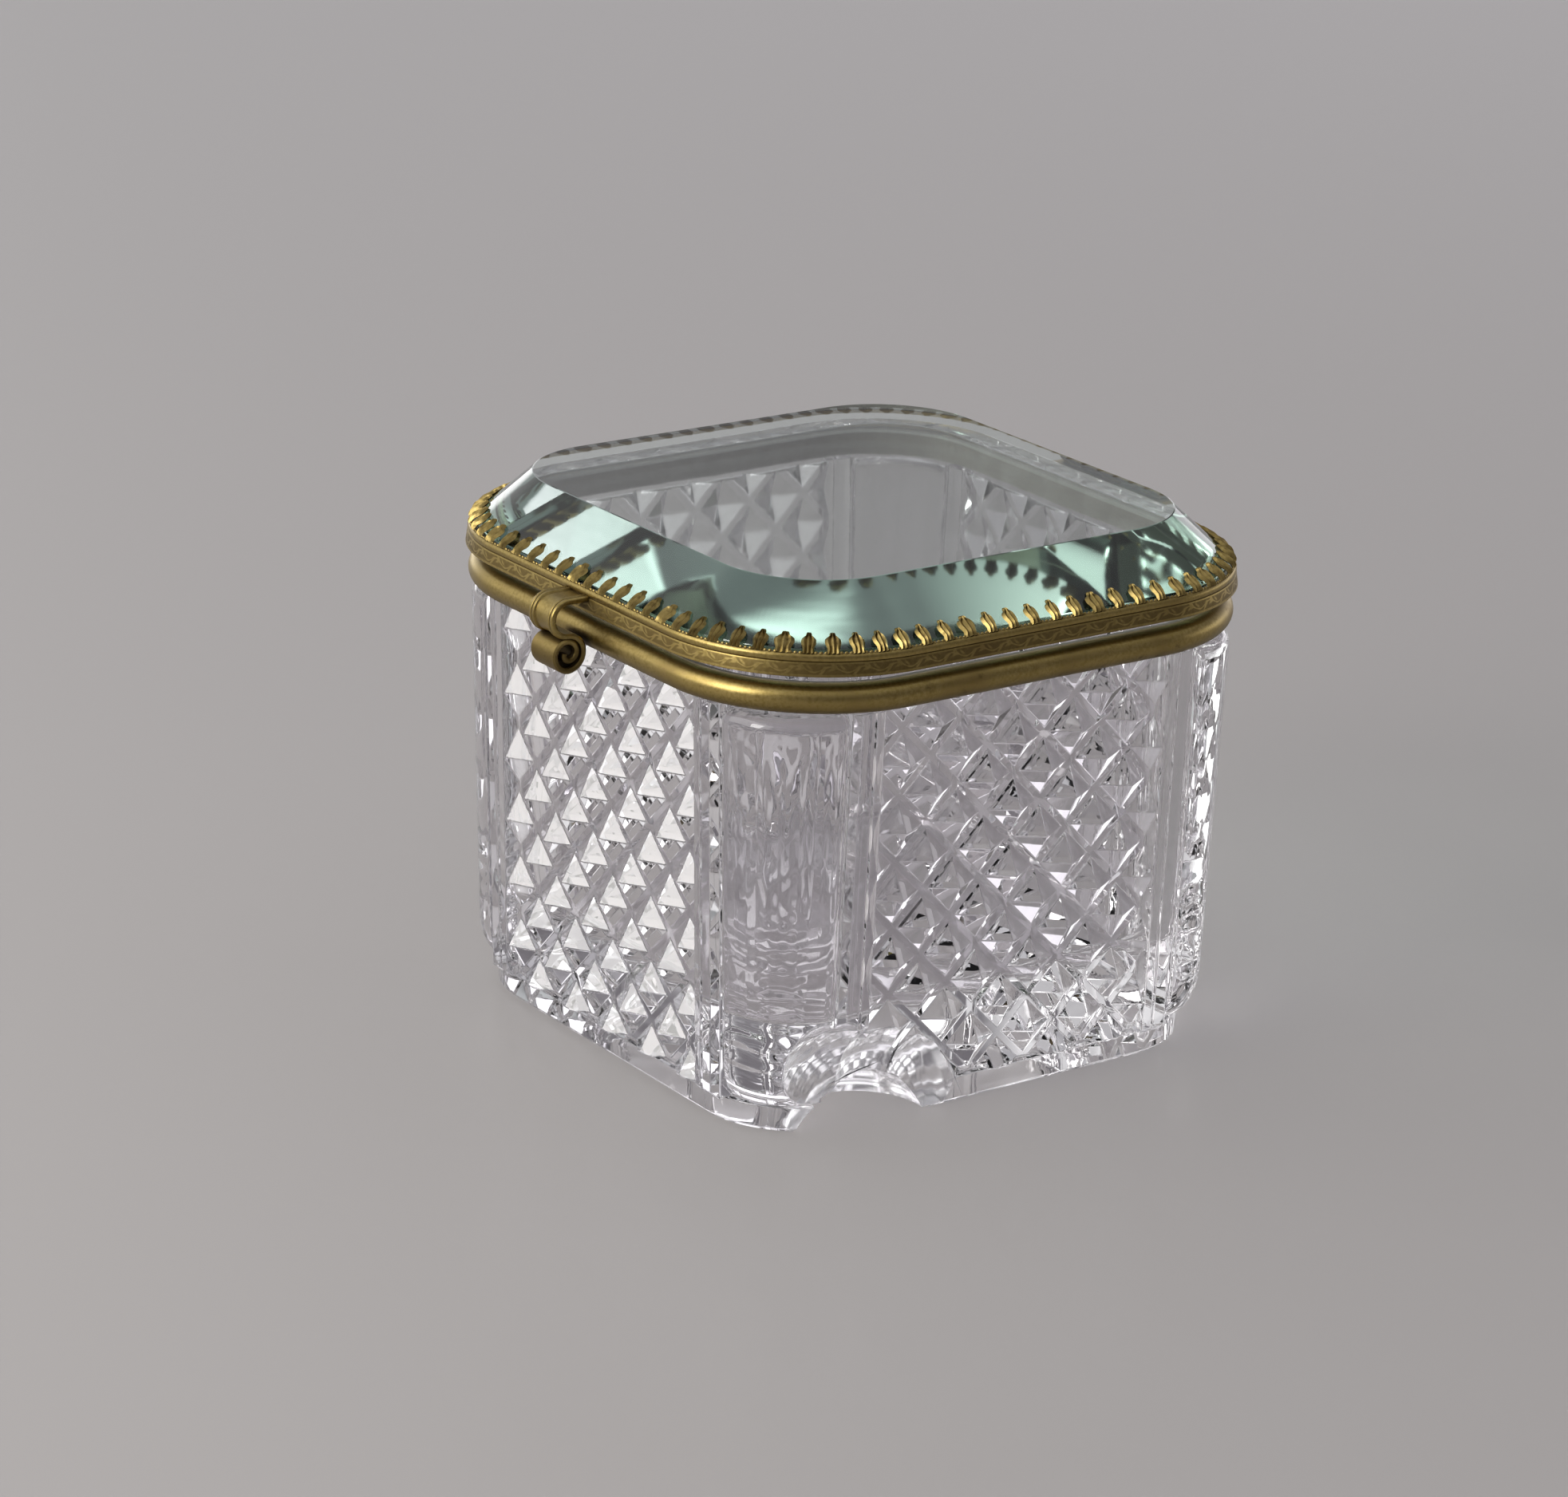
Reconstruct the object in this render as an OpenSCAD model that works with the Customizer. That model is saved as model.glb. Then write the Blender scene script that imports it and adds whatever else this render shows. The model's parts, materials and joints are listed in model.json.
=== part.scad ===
// Square pressed-glass casket with a brass collar and a hinged lid of bevelled glass.
// Units are millimetres. The origin is the middle of the foot, +Z is up and the clasp faces -Y.

/* [Glass body] */
// Half the distance between opposite faces, at the height of the first full row of diamonds
face_half = 56.9; // [52:0.1:64]
// Height of the top of the glass
rim_z = 89.6; // [80:0.1:100]
// How far a face leans out for each millimetre of height
face_lean = 0.031; // [0.02:0.001:0.04]
// Thickness of the glass wall, ribs included
wall_t = 9.5; // [8.8:0.1:10.5]
// Diamonds across one face
diamonds_across = 5; // [4:1:6]
// Depth of that row of diamonds below the top edge of a face
first_row = 11.9; // [6:0.1:13]
// Depth of the grooves between the diamonds
groove_depth = 3.1; // [2.4:0.1:3.4]
// Width of the flat bottom of a groove
groove_floor = 1.4; // [1:0.1:2]
// Width of the small flat on a diamond's point
diamond_tip = 0.2; // [0.2:0.05:0.6]
// How far the diamond points lie below the ribs
panel_drop = 0.4; // [0.2:0.1:0.8]
// Gap between the top edge of a face and the bead
face_top_gap = 0.6; // [0.4:0.1:1.2]
// Width of a rib
rib_w = 2.6; // [2:0.1:4]
// Width of the ridge that frames the diamonds
ridge_w = 1.8; // [1:0.1:2]
// Width of the groove beside that ridge
rib_groove_w = 0.7; // [0.5:0.1:1]
// Depth of the groove beside that ridge
rib_groove_depth = 0.5; // [0.3:0.1:0.8]
// Slope at the outer edge of a rib
rib_edge = 1.3; // [0.8:0.1:1.6]
// Slope at the bottom edge of a face
slab_toe = 1.2; // [0.6:0.1:1.6]

/* [Corner columns] */
// Radius of a column, at the height of the first full row of diamonds
column_r = 15.9; // [15:0.1:17]
// How far a column lies behind the faces
column_inset = 1; // [0.6:0.1:1.4]
// How far the bottom of a column rounds in
column_shoulder = 4.4; // [3:0.1:5]
// Height of that rounding
column_shoulder_h = 8.6; // [6:0.1:12]
// Radius of the round at the top of a column
column_top_r = 3; // [1:0.1:3.4]
// Depth of the groove between a column and a face
column_groove = 1; // [0.6:0.1:1.4]
// Width of that groove
column_groove_w = 1.1; // [0.8:0.1:1.6]

/* [Foot] */
// How far the foot lies behind the faces
foot_inset = 4; // [3.6:0.1:4.4]
// Radius of the foot's corners
foot_r = 19.7; // [18.5:0.1:20]
// Height of the band round the foot
foot_band_h = 5.2; // [4.8:0.1:5.8]
// How far the foot steps in above its band
foot_step = 0.7; // [0.4:0.1:1]
// Slope under the foot's edge
foot_edge = 0.7; // [0.4:0.1:1]

/* [Hollow] */
// Thickness of the glass floor
floor_t = 20; // [16:0.1:24]
// Radius of the hollow's corners
hollow_r = 14.4; // [14:0.1:17]
// Radius between the floor and the walls
hollow_fillet = 2.5; // [1.5:0.5:4]

/* [Neck and collar] */
// How far the glass neck lies behind the faces
neck_inset = 1.3; // [1.1:0.1:1.7]
// How far its lower part lies behind the grooves of the diamonds
neck_behind = 0.3; // [0.2:0.1:0.6]
// Radius of the neck's corners
neck_r = 26.6; // [26:0.1:27]
// Round of the rim's outer edge
rim_round = 0.8; // [0.5:0.1:1.2]
// Thickness of the cement between the neck and the collar
cement_t = 0.9; // [0.7:0.1:1]
// Thickness of the brass sleeve
sleeve_t = 0.6; // [0.4:0.1:0.8]
// Gap left between soldered or cemented pieces
seat_gap = 0.05; // [0.03:0.01:0.08]
// Radius of the collar bead
bead_r = 2.8; // [2.6:0.1:2.9]
// Wall of the collar bead
bead_wall = 0.6; // [0.4:0.1:0.8]
// How far the top of the bead lies below the rim
bead_below_rim = 1.8; // [1.6:0.1:2]

/* [Lid] */
// Gap between the rim and the closed lid
lid_gap = 0.3; // [0.3:0.05:0.5]
// How far the lid's brass strip stands out over the bead
lid_over = 0.3; // [0.2:0.1:0.6]
// Thickness of the brass strip
strip_t = 0.8; // [0.6:0.1:1]
// Height of the brass strip below its prongs
strip_h = 4.2; // [4:0.1:4.4]
// Radius of the fine bead along the top of the strip
strip_bead_r = 0.3; // [0.2:0.05:0.35]
// Thickness of the inner ring
lid_ring_t = 0.7; // [0.5:0.1:0.9]
// Height of the inner ring
lid_ring_h = 3; // [2.4:0.1:3.4]
// Width of the ledge under the lid glass
ledge_w = 2.4; // [2:0.1:3]
// Thickness of the bedding under the lid glass
bedding_t = 0.6; // [0.4:0.1:0.8]
// Gap round the edge of the lid glass
glass_fit = 0.15; // [0.1:0.05:0.25]
// Height of the lid
lid_h = 14.1; // [13:0.1:15]
// Width of the lid glass's bevel, seen from above
bevel_w = 10.6; // [9.5:0.1:12]
// Height of the glass edge below its bevel
glass_edge_h = 3.1; // [3:0.1:3.4]

/* [Prongs] */
// Prongs along one straight side
prongs_side = 12; // [10:1:13]
// Prongs round one corner
prongs_corner = 11; // [9:1:12]
// Width of a prong
prong_w = 2.6; // [2:0.1:2.8]
// Length of a prong over the bevel
prong_l = 3.4; // [3:0.1:3.8]
// Thickness of a prong
prong_t = 0.55; // [0.4:0.05:0.6]
// Gap between a prong and the bevel
prong_gap = 0.1; // [0.05:0.05:0.15]

/* [Clasp] */
// Width of the strap
strap_w = 8; // [7:0.5:10]
// Thickness of the strap
strap_t = 0.8; // [0.6:0.1:0.9]
// Gap between the strap and the bead
strap_clear = 0.35; // [0.3:0.05:0.5]
// Radius of the hook's middle line
hook_r = 3.1; // [3:0.1:3.3]
// Radius of the middle line in the scroll's outer half turn
scroll_r = 3.5; // [3.4:0.1:3.6]
// Radius of the middle line in its next half turn
scroll_r2 = 2.7; // [2.6:0.1:2.8]
// Radius of the middle line in its inner half turn
scroll_r3 = 1.7; // [1.5:0.1:1.8]
// Depth of the scroll's centre below the centre of the bead
scroll_below = 2.9; // [2.6:0.1:3]
// Radius of the mouldings along the strap's edges
moulding_r = 0.45; // [0.3:0.05:0.5]
// Distance between the two mouldings of one edge
moulding_gap = 1.1; // [1.1:0.1:1.4]

/* [Hinge] */
// Distance of the pin behind the lid
pin_behind = 2.3; // [2.3:0.05:2.6]
// Height of the pin below the bottom of the lid
pin_below = 1; // [0.9:0.05:1.1]
// Radius of the pin
pin_r = 0.8; // [0.6:0.05:0.9]
// Running clearance round the pin
pin_clear = 0.05; // [0.02:0.01:0.09]
// Outer radius of the knuckles
knuckle_r = 1.9; // [1.8:0.05:1.9]
// Length of one knuckle
knuckle_l = 5.8; // [5:0.1:6.2]
// Gap between knuckles
knuckle_gap = 0.3; // [0.3:0.05:0.5]
// How far the hinge leaves reach past the outer knuckles
leaf_end = 1.9; // [1:0.1:5]
// Thickness of the hinge leaves
leaf_t = 0.7; // [0.6:0.05:0.7]
// Gap between the turning knuckles and the leaves
leaf_gap = 0.3; // [0.3:0.05:0.35]
// Distance of the stop lip behind the pin
lip_behind = 3.1; // [3.1:0.1:3.4]
// Height of the stop lip above the pin
lip_above = 0.3; // [0:0.05:0.3]
// Height of the top of the lid's leaf above the pin
lid_leaf_up = 4.1; // [3.8:0.1:4.1]

/* [Chip in the foot] */
// Distance of the chip's middle from the foot's front edge, along the right face
chip_from_front = 22.3; // [20:0.1:24]
// How far inside the foot's edge the centre of the deep scoop lies
chip_inset = 2.3; // [0:0.1:3]
// How far below the foot the centre of the deep scoop lies
chip_below = 5; // [4.5:0.1:8]
// Radius of the deep scoop
chip_r = 14.5; // [8:0.1:15]
// Radius of the three shells above the scoop
shell_r = 14; // [12:0.5:18]
// Height of the middle shell
shell_z = 9.5; // [9:0.1:12]
// Distance from one shell to the next
shell_step = 11.5; // [10:0.5:14]
// How far each shell lies below the one before it
shell_fall = 2.5; // [0:0.1:3]
// How deep the shells bite
shell_depth = 5.2; // [3:0.1:5.6]

/* [Hidden] */
$fn = 64;
cut = 1;
lean_angle = atan(face_lean);
bead_z = rim_z - bead_below_rim - bead_r;
face_top_z = bead_z - bead_r - face_top_gap;
face_ref_z = face_top_z - first_row;
slab_low = foot_band_h - 0.4 - face_ref_z;
column_centre = face_half - column_inset - column_r;
column_top_z = face_top_z - 0.2;
slab_half = column_centre - column_groove_w;
panel_half = slab_half - rib_edge - rib_w - rib_groove_w - ridge_w;
diamond_cell = 2 * panel_half / diamonds_across;
diamond_pitch = diamond_cell / sqrt(2);
foot_half = face_half - foot_inset;
foot_centre = foot_half - foot_r;
hollow_half = face_half - wall_t;
hollow_centre = hollow_half - hollow_r;
neck_half = face_half - neck_inset;
ring_centre = neck_half - neck_r;
cement_out = neck_half + seat_gap + cement_t;
sleeve_in = cement_out + seat_gap;
sleeve_out = sleeve_in + sleeve_t;
bead_half = sleeve_out + 1;
collar_low = face_top_z + 0.9;
collar_high = bead_z + bead_r - 0.5;
lid_z = rim_z + lid_gap;
lid_half = bead_half + bead_r + lid_over;
strip_in = lid_half - strip_t;
ring_out = strip_in - seat_gap;
ledge_z = lid_z + lid_ring_t;
glass_half = ring_out - lid_ring_t - glass_fit;
glass_z = ledge_z + bedding_t + 2 * seat_gap;
bevel_z = glass_z + glass_edge_h;
lid_top_z = lid_z + lid_h;
bevel_angle = atan((lid_top_z - bevel_z) / bevel_w);
pin_y = lid_half + pin_behind;
pin_z = lid_z - pin_below;
knuckle_step = knuckle_l + knuckle_gap;
hinge_l = 5 * knuckle_l + 4 * knuckle_gap;
leaf_l = hinge_l + 2 * leaf_end;
turn_r = knuckle_r + leaf_gap;
lid_leaf_y = lid_half + seat_gap;
lug_y = lid_leaf_y + leaf_t + seat_gap - pin_y;
scroll_y = bead_half + bead_r + strap_clear + strap_t / 2 + scroll_r;
scroll_z = bead_z - scroll_below;
hook_z = scroll_z + scroll_r + hook_r;

glass_tint = [0.82, 0.83, 0.87, 0.5];
lid_tint = [0.8, 0.87, 0.84, 0.5];
brass_tint = [0.72, 0.58, 0.32];
cement_tint = [0.85, 0.82, 0.76];

// Distance by which a face has leant out at height z
function lean_at(z) = face_lean * (z - face_ref_z);

// Points on an arc about [x, y], from angle a to angle b in steps of 15 degrees
function arc_points(x, y, r, a, b) = [for (t = [a : 15 : b]) [x + r * cos(t), y + r * sin(t)]];

// Sweeps a section round a square with round corners; the section's x is the distance from the middle
module swept(centre) {
  for (turn = [0 : 3]) rotate([0, 0, 90 * turn]) {
    rotate([90, 0, 0]) linear_extrude(height = 2 * centre, center = true) children();
    translate([centre, centre, 0]) rotate_extrude(angle = 90) translate([-centre, 0]) children();
  }
}

// A swept section that starts half a cut outside its corner centres, with its middle filled by a block
module swept_block(centre, low, high) {
  core = centre + cut;
  swept(centre) children();
  translate([-core, -core, low]) cube([2 * core, 2 * core, high - low]);
}

// Turns the first section a quarter round each corner and runs the second a short way along the sides
module corners(centre, flank) {
  for (turn = [0 : 3]) rotate([0, 0, 90 * turn]) translate([centre, centre, 0]) {
    rotate_extrude(angle = 90) children(0);
    rotate([90, 0, 0]) linear_extrude(height = flank) children(1);
    translate([-flank, 0, 0]) rotate([90, 0, 90]) linear_extrude(height = flank) children(1);
  }
}

// Extrudes a section that is drawn with x to the back and y up, from x_start to the right
module along_hinge(x_start, length) {
  translate([x_start, 0, 0]) rotate([90, 0, 90]) linear_extrude(height = length) children();
}

// Comb of grooves that run along y, one diamond pitch apart; its teeth become the diamonds' ridges
module groove_comb() {
  first = -ceil((face_ref_z + panel_half) / diamond_cell) - 1;
  last = ceil((first_row + panel_half) / diamond_cell);
  tip = (diamond_pitch - diamond_tip) / 2;
  deep = -panel_drop - groove_depth;
  wave = [for (i = [first : last]) let (y = (i + 0.5) * diamond_pitch)
            each [[-panel_drop, y - tip], [deep, y - groove_floor / 2],
                  [deep, y + groove_floor / 2], [-panel_drop, y + tip]]];
  ends = [[cut, (last + 1) * diamond_pitch], [cut, first * diamond_pitch]];
  rotate([90, 0, 0]) linear_extrude(height = 2 * (first_row - slab_low + panel_half), center = true)
    polygon(concat(wave, ends));
}

// Plan of a face: ridge, fine groove, rib and sloped edge on each side of the diamonds
module slab_plan() {
  ridge = panel_half + ridge_w;
  right = [[0, ridge], [-rib_groove_depth, ridge + rib_groove_w / 2], [0, ridge + rib_groove_w],
           [0, slab_half - rib_edge], [-rib_edge, slab_half], [-wall_t, slab_half]];
  left = [for (i = [len(right) - 1 : -1 : 0]) [right[i][0], -right[i][1]]];
  polygon(concat(right, left));
}

// One raised face with its diamonds, leaning outwards to the top
module slab() {
  toe = slab_toe * sqrt(2);
  translate([face_half, 0, face_ref_z]) rotate([0, lean_angle, 0]) difference() {
    translate([0, 0, slab_low]) linear_extrude(height = first_row - slab_low) slab_plan();
    for (slant = [-45, 45]) intersection() {
      translate([-wall_t, -panel_half, slab_low - cut])
        cube([wall_t + cut, 2 * panel_half, first_row - slab_low + 2 * cut]);
      rotate([slant, 0, 0]) groove_comb();
    }
    translate([0, 0, slab_low]) rotate([0, 45, 0]) cube([toe, 2 * slab_half + cut, toe], center = true);
  }
}

// Section of a column from its centre outwards, set in by a given amount
module column_section(inset) {
  low_z = foot_band_h + column_shoulder_h;
  high_z = column_top_z - column_top_r;
  low_r = column_r + lean_at(low_z) - inset;
  high_r = column_r + lean_at(high_z) - inset;
  shoulder = [for (t = [0 : 15 : 90]) [low_r - column_shoulder * (1 - sin(t)), low_z - column_shoulder_h * cos(t)]];
  polygon(concat([[0, foot_band_h - cut], [low_r - column_shoulder, foot_band_h - cut]], shoulder,
                 arc_points(high_r - column_top_r, high_z, column_top_r, 0, 90), [[0, column_top_z]]));
}

// Section of the foot band and of the thick floor above it
module foot_section() {
  start = foot_centre + cut / 2;
  inner = hollow_half + cut;
  high = floor_t + hollow_fillet;
  polygon([[start, 0], [foot_half - foot_edge, 0], [foot_half, foot_edge],
           [foot_half, foot_band_h - 0.3], [foot_half - foot_step, foot_band_h], [inner, foot_band_h],
           [inner, high], [start, high]]);
}

// Section of the neck, with a rounded rim
module neck_section() {
  inner = hollow_centre + hollow_r / 2;
  low = column_top_z - column_top_r - cut;
  behind = face_half - panel_drop - groove_depth - neck_behind;
  polygon(concat([[inner, low], [behind, low], [behind, column_top_z], [neck_half, column_top_z]],
                 arc_points(neck_half - rim_round, rim_z - rim_round, rim_round, 0, 90),
                 [[inner, rim_z]]));
}

// Section of the hollow, rounded at the floor and leaning out like the faces
module hollow_section() {
  start = hollow_centre + cut / 2;
  top = rim_z + cut;
  polygon(concat([[start, floor_t]],
                 arc_points(hollow_half - hollow_fillet, floor_t + hollow_fillet, hollow_fillet, -90, 0),
                 [[hollow_half + face_lean * (top - floor_t), top], [start, top]]));
}

// Scoop and shells of the chip
module chip() {
  shell_x = face_half + lean_at(shell_z) + shell_r - shell_depth;
  translate([0, chip_from_front - foot_half, 0]) {
    translate([foot_half - chip_inset, 0, -chip_below]) sphere(chip_r);
    for (k = [-1 : 1]) translate([shell_x, k * shell_step, shell_z - k * shell_fall]) sphere(shell_r);
  }
}

module glass_body() color(glass_tint) {
  difference() {
    union() {
      swept_block(foot_centre, 0, floor_t + cut) foot_section();
      corners(column_centre, column_centre - slab_half + 2) {
        column_section(0);
        column_section(column_groove);
      }
      swept(ring_centre) neck_section();
      for (turn = [0 : 3]) rotate([0, 0, 90 * turn]) slab();
    }
    swept_block(hollow_centre, floor_t, rim_z + cut) hollow_section();
    chip();
  }
}

// Cement, sleeve and bead that make the collar
module rim_cement() color(cement_tint) swept(ring_centre)
  translate([neck_half + seat_gap, collar_low]) square([cement_t, collar_high - collar_low]);

module collar_sleeve() color(brass_tint) swept(ring_centre)
  translate([sleeve_in, collar_low]) square([sleeve_t, collar_high - collar_low]);

module collar_bead() color(brass_tint) swept(ring_centre) difference() {
  translate([bead_half, bead_z]) difference() {
    circle(bead_r);
    circle(bead_r - bead_wall);
  }
  translate([sleeve_out + seat_gap - 2 * bead_r, bead_z - bead_r]) square(2 * bead_r);
}

module lid_glass() color(lid_tint) {
  start = ring_centre + cut / 2;
  swept_block(ring_centre, glass_z, lid_top_z)
    polygon([[start, glass_z], [glass_half, glass_z], [glass_half, bevel_z],
             [glass_half - bevel_w, lid_top_z], [start, lid_top_z]]);
}

module glass_bedding() color(cement_tint) swept(ring_centre)
  translate([ring_out - ledge_w + 0.3, ledge_z + seat_gap])
    square([glass_half - ring_out + ledge_w - 0.4, bedding_t]);

module lid_ring() color(brass_tint) swept(ring_centre) {
  wall = ring_out - lid_ring_t;
  polygon([[ring_out - ledge_w, lid_z], [ring_out, lid_z], [ring_out, lid_z + lid_ring_h],
           [wall, lid_z + lid_ring_h], [wall, ledge_z], [ring_out - ledge_w, ledge_z]]);
}

// Flat leaf that lies over the bevel with its root in the strip
module prong() {
  side = prong_w / 2;
  root = (lid_half - glass_half - (prong_gap + prong_t) * sin(bevel_angle)) / cos(bevel_angle) - 0.2;
  translate([glass_half, 0, bevel_z]) rotate([0, bevel_angle, 0]) translate([0, 0, prong_gap])
    linear_extrude(height = prong_t)
      polygon([[root, -side], [root, side], [-0.62 * prong_l, side], [-0.88 * prong_l, 0.62 * side],
               [-prong_l, 0], [-0.88 * prong_l, -0.62 * side], [-0.62 * prong_l, -side]]);
}

module gallery_strip() color(brass_tint) {
  swept(ring_centre) {
    translate([strip_in, lid_z]) square([strip_t, strip_h]);
    translate([lid_half, lid_z + strip_h - 2 * strip_bead_r]) circle(strip_bead_r);
  }
  for (turn = [0 : 3]) rotate([0, 0, 90 * turn]) {
    for (i = [0.5 : prongs_side]) translate([0, (2 * i / prongs_side - 1) * ring_centre, 0]) prong();
    for (i = [0.5 : prongs_corner]) translate([ring_centre, ring_centre, 0])
      rotate([0, 0, 90 * i / prongs_corner]) translate([-ring_centre, 0, 0]) prong();
  }
}

// Half turn of the strap about a point above the clasp's line, bulging away from the box when side is 1
module strap_half(z, radius, side) {
  translate([0, -scroll_y, z]) rotate([90, 0, -90]) rotate([0, 0, -90 * side]) rotate_extrude(angle = 180)
    children();
}

module strap_section(radius) {
  translate([radius - strap_t / 2, -strap_w / 2]) square([strap_t, strap_w]);
}

module clasp_strap() color(brass_tint) {
  second_z = scroll_z - scroll_r + scroll_r2;
  third_z = second_z + scroll_r2 - scroll_r3;
  translate([-strap_w / 2, -scroll_y, hook_z + hook_r - strap_t / 2])
    cube([strap_w, scroll_y - lid_half - seat_gap, strap_t]);
  strap_half(hook_z, hook_r, 1) {
    strap_section(hook_r);
    for (edge = [-1, 1]) for (k = [0, 1])
      translate([hook_r + strap_t / 2, edge * (strap_w / 2 - moulding_r - k * moulding_gap)]) circle(moulding_r);
  }
  strap_half(scroll_z, scroll_r, -1) strap_section(scroll_r);
  strap_half(second_z, scroll_r2, 1) strap_section(scroll_r2);
  strap_half(third_z, scroll_r3, -1) strap_section(scroll_r3);
}

// Leaf that grips the back of the bead, carries the fixed knuckles and ends in the stop lip
module base_hinge_leaf() color(brass_tint) {
  plate_z = pin_z - turn_r - leaf_t;
  lip_y = pin_y + lip_behind;
  reach = bead_r + seat_gap + leaf_t;
  far = 2 * reach;
  along_hinge(-leaf_l / 2, leaf_l) difference() {
    union() {
      translate([bead_half, bead_z]) intersection() {
        circle(reach);
        polygon([[0, 0], [far * cos(-35), far * sin(-35)], [far, 0], [far * cos(25), far * sin(25)]]);
      }
      translate([bead_half, plate_z]) square([lip_y + leaf_t - bead_half, leaf_t]);
      translate([lip_y, plate_z]) square([leaf_t, pin_z + lip_above - plate_z]);
    }
    translate([bead_half, bead_z]) circle(bead_r + seat_gap);
  }
}

// Tube with a lug that ties it to its leaf; place counts the five knuckles from the left
module knuckle(place, lug_x, lug_low, lug_w, lug_h) {
  along_hinge(place * knuckle_step - hinge_l / 2, knuckle_l) translate([pin_y, pin_z]) difference() {
    union() {
      circle(knuckle_r);
      translate([lug_x, lug_low]) square([lug_w, lug_h]);
    }
    circle(pin_r + pin_clear);
  }
}

module base_knuckle(place) {
  low = seat_gap - turn_r;
  knuckle(place, -pin_r, low, 2 * pin_r, -low - pin_r - pin_clear);
}

module lid_knuckle(place) {
  knuckle(place, lug_y, pin_r + pin_clear, -lug_y, knuckle_r + 0.35 - pin_r);
}

module base_knuckle_left() color(brass_tint) base_knuckle(0);
module base_knuckle_middle() color(brass_tint) base_knuckle(2);
module base_knuckle_right() color(brass_tint) base_knuckle(4);
module lid_knuckle_left() color(brass_tint) lid_knuckle(1);
module lid_knuckle_right() color(brass_tint) lid_knuckle(3);

module hinge_pin() color(brass_tint) along_hinge(-hinge_l / 2 - 0.4, hinge_l + 0.8)
  translate([pin_y, pin_z]) circle(pin_r);

module lid_hinge_leaf() color(brass_tint) {
  low = sqrt(turn_r * turn_r - pow(pin_y - lid_leaf_y - leaf_t, 2));
  along_hinge(-leaf_l / 2, leaf_l) translate([lid_leaf_y, pin_z + low]) square([leaf_t, lid_leaf_up - low]);
}

glass_body();
rim_cement();
collar_sleeve();
collar_bead();
base_hinge_leaf();
base_knuckle_left();
base_knuckle_middle();
base_knuckle_right();
hinge_pin();
lid_glass();
glass_bedding();
lid_ring();
gallery_strip();
clasp_strap();
lid_hinge_leaf();
lid_knuckle_left();
lid_knuckle_right();
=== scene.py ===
"""Glass casket: thick diamond-cut body, brass collar, and a hinged bevelled lid in a pronged brass strip."""
import json
import math

import bmesh
import bpy
from mathutils import Matrix, Vector


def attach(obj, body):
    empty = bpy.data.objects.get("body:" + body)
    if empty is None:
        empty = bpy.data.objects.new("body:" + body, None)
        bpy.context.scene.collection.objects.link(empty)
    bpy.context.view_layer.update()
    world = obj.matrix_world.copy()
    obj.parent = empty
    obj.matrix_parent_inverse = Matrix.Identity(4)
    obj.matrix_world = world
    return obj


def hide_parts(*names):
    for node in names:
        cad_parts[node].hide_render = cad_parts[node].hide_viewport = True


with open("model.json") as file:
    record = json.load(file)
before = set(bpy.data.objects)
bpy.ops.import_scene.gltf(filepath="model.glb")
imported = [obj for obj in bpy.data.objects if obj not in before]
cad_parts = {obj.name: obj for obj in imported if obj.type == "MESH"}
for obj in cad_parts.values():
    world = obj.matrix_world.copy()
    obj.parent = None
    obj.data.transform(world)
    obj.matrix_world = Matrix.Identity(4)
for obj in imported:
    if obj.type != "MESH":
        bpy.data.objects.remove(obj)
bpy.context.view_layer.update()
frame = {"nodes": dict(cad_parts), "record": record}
MM = 0.001


# Shader sums

class Signal:
    """A socket that can be used in sums; every operator adds its Math node."""

    def __init__(self, nodes, socket):
        self.nodes = nodes
        self.socket = socket

    def math(self, operation, *values):
        return self.nodes.math(operation, self, *values)

    def wave(self):
        """A sine wave of period 1."""
        return (self * 2 * math.pi).math("SINE")

    def __add__(self, other):
        return self.math("ADD", other)

    __radd__ = __add__

    def __sub__(self, other):
        return self.math("SUBTRACT", other)

    def __rsub__(self, other):
        return self.nodes.math("SUBTRACT", other, self)

    def __mul__(self, other):
        return self.math("MULTIPLY", other)

    __rmul__ = __mul__

    def __truediv__(self, other):
        return self.math("DIVIDE", other)

    def __abs__(self):
        return self.math("ABSOLUTE")

    def clamped(self):
        return self.nodes.node("ShaderNodeClamp", {}, {"Value": self}, "Result")

    def smooth(self, low, high):
        """0 below low, 1 above high, with a soft step between."""
        return self.nodes.node(
            "ShaderNodeMapRange", {"interpolation_type": "SMOOTHSTEP"},
            {"Value": self, "From Min": low, "From Max": high}, "Result")


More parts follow.
